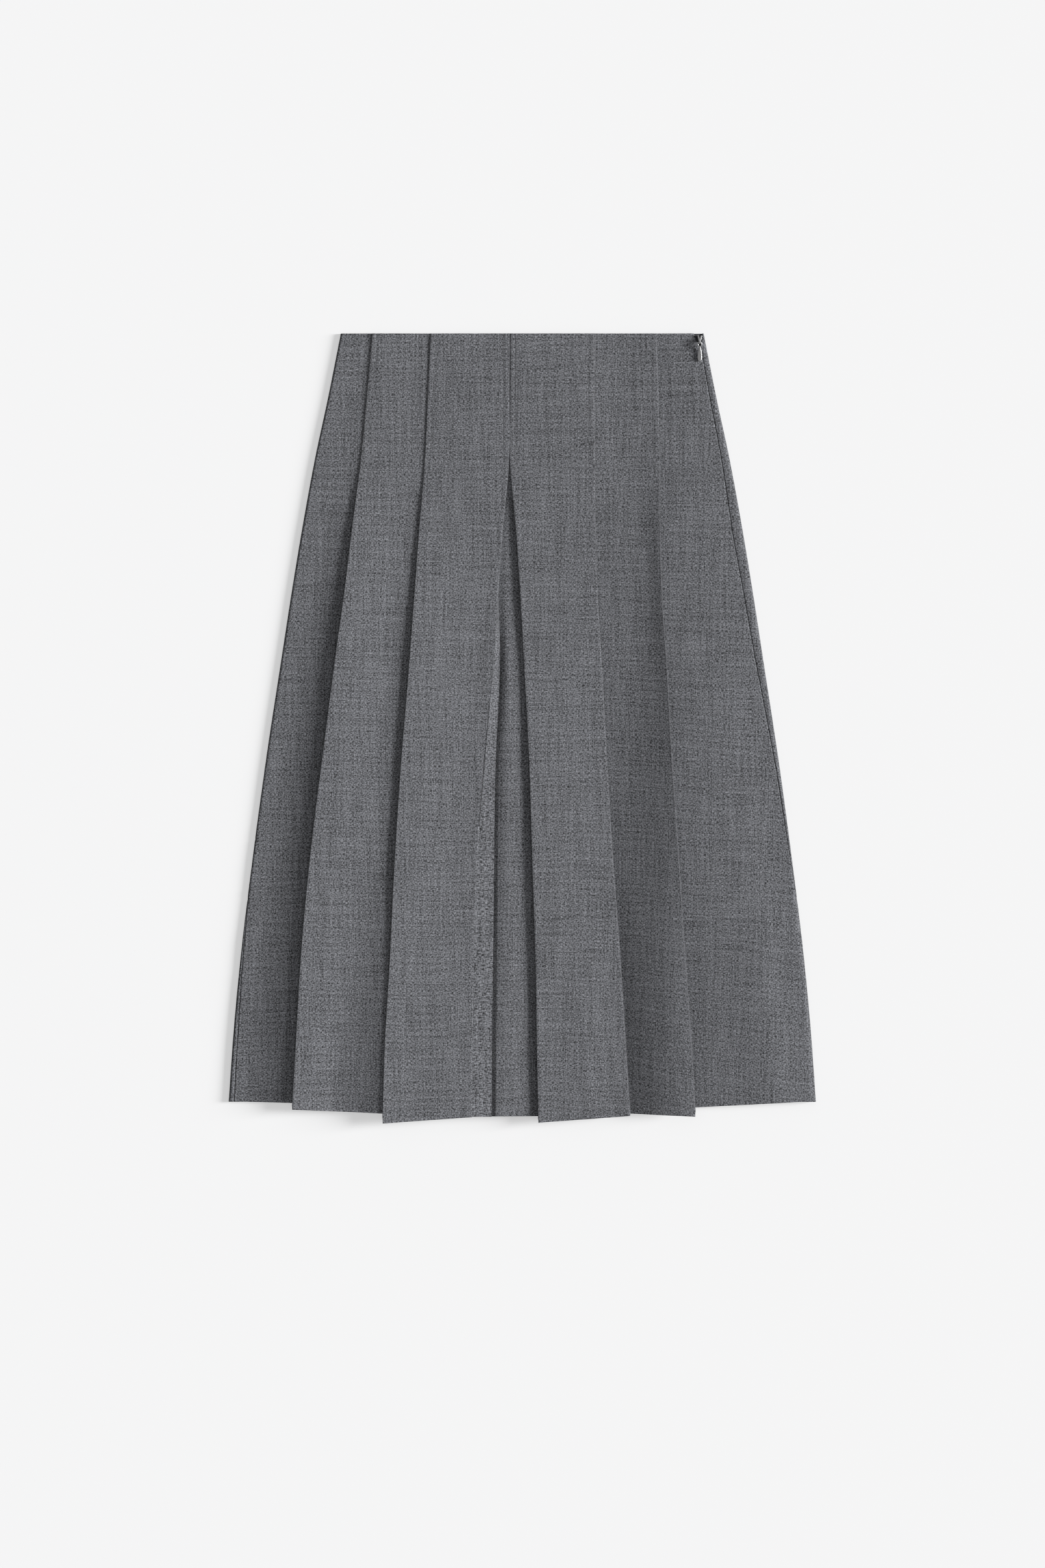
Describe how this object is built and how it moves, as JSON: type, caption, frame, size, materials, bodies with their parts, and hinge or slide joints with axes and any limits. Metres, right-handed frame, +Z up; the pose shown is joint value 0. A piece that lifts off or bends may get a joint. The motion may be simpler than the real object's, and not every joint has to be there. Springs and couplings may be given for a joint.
{
  "type": "pleated midi skirt",
  "caption": "A-line wool midi skirt laid flat, front up, with stitched-down knife pleats round an inverted centre pleat and an invisible side zip with a swinging pull tab.",
  "frame": {"origin": "on the surface that the laid skirt rests on, under the middle of its box", "axes": "+X to the viewer's right across the skirt (the wearer's left side), +Y from the hem to the waist, +Z up, out of the skirt's front"},
  "size_m": [0.5664, 0.761, 0.0115],
  "materials": {
    "wool_suiting": "light plain-weave wool suiting in a mid grey melange, matt with a faint sheen",
    "zip_tape": "dark grey woven zip tape, matt",
    "zip_metal": "nickel-coloured metal, satin with bright edges"
  },
  "bodies": {
    "skirt": {"front_panel": "wool_suiting", "back_panel": "wool_suiting", "zip_tape": "zip_tape", "zip_slider": "zip_metal"},
    "pull_tab": {"zip_pull": "zip_metal"}
  },
  "joints": [
    {"name": "pull_hinge", "type": "hinge", "parent": "skirt", "child": "pull_tab", "pos_m": [0.1711, 0.3715, 0.0059], "axis": [-1, 0, 0], "range_deg": [0, 170]}
  ]
}
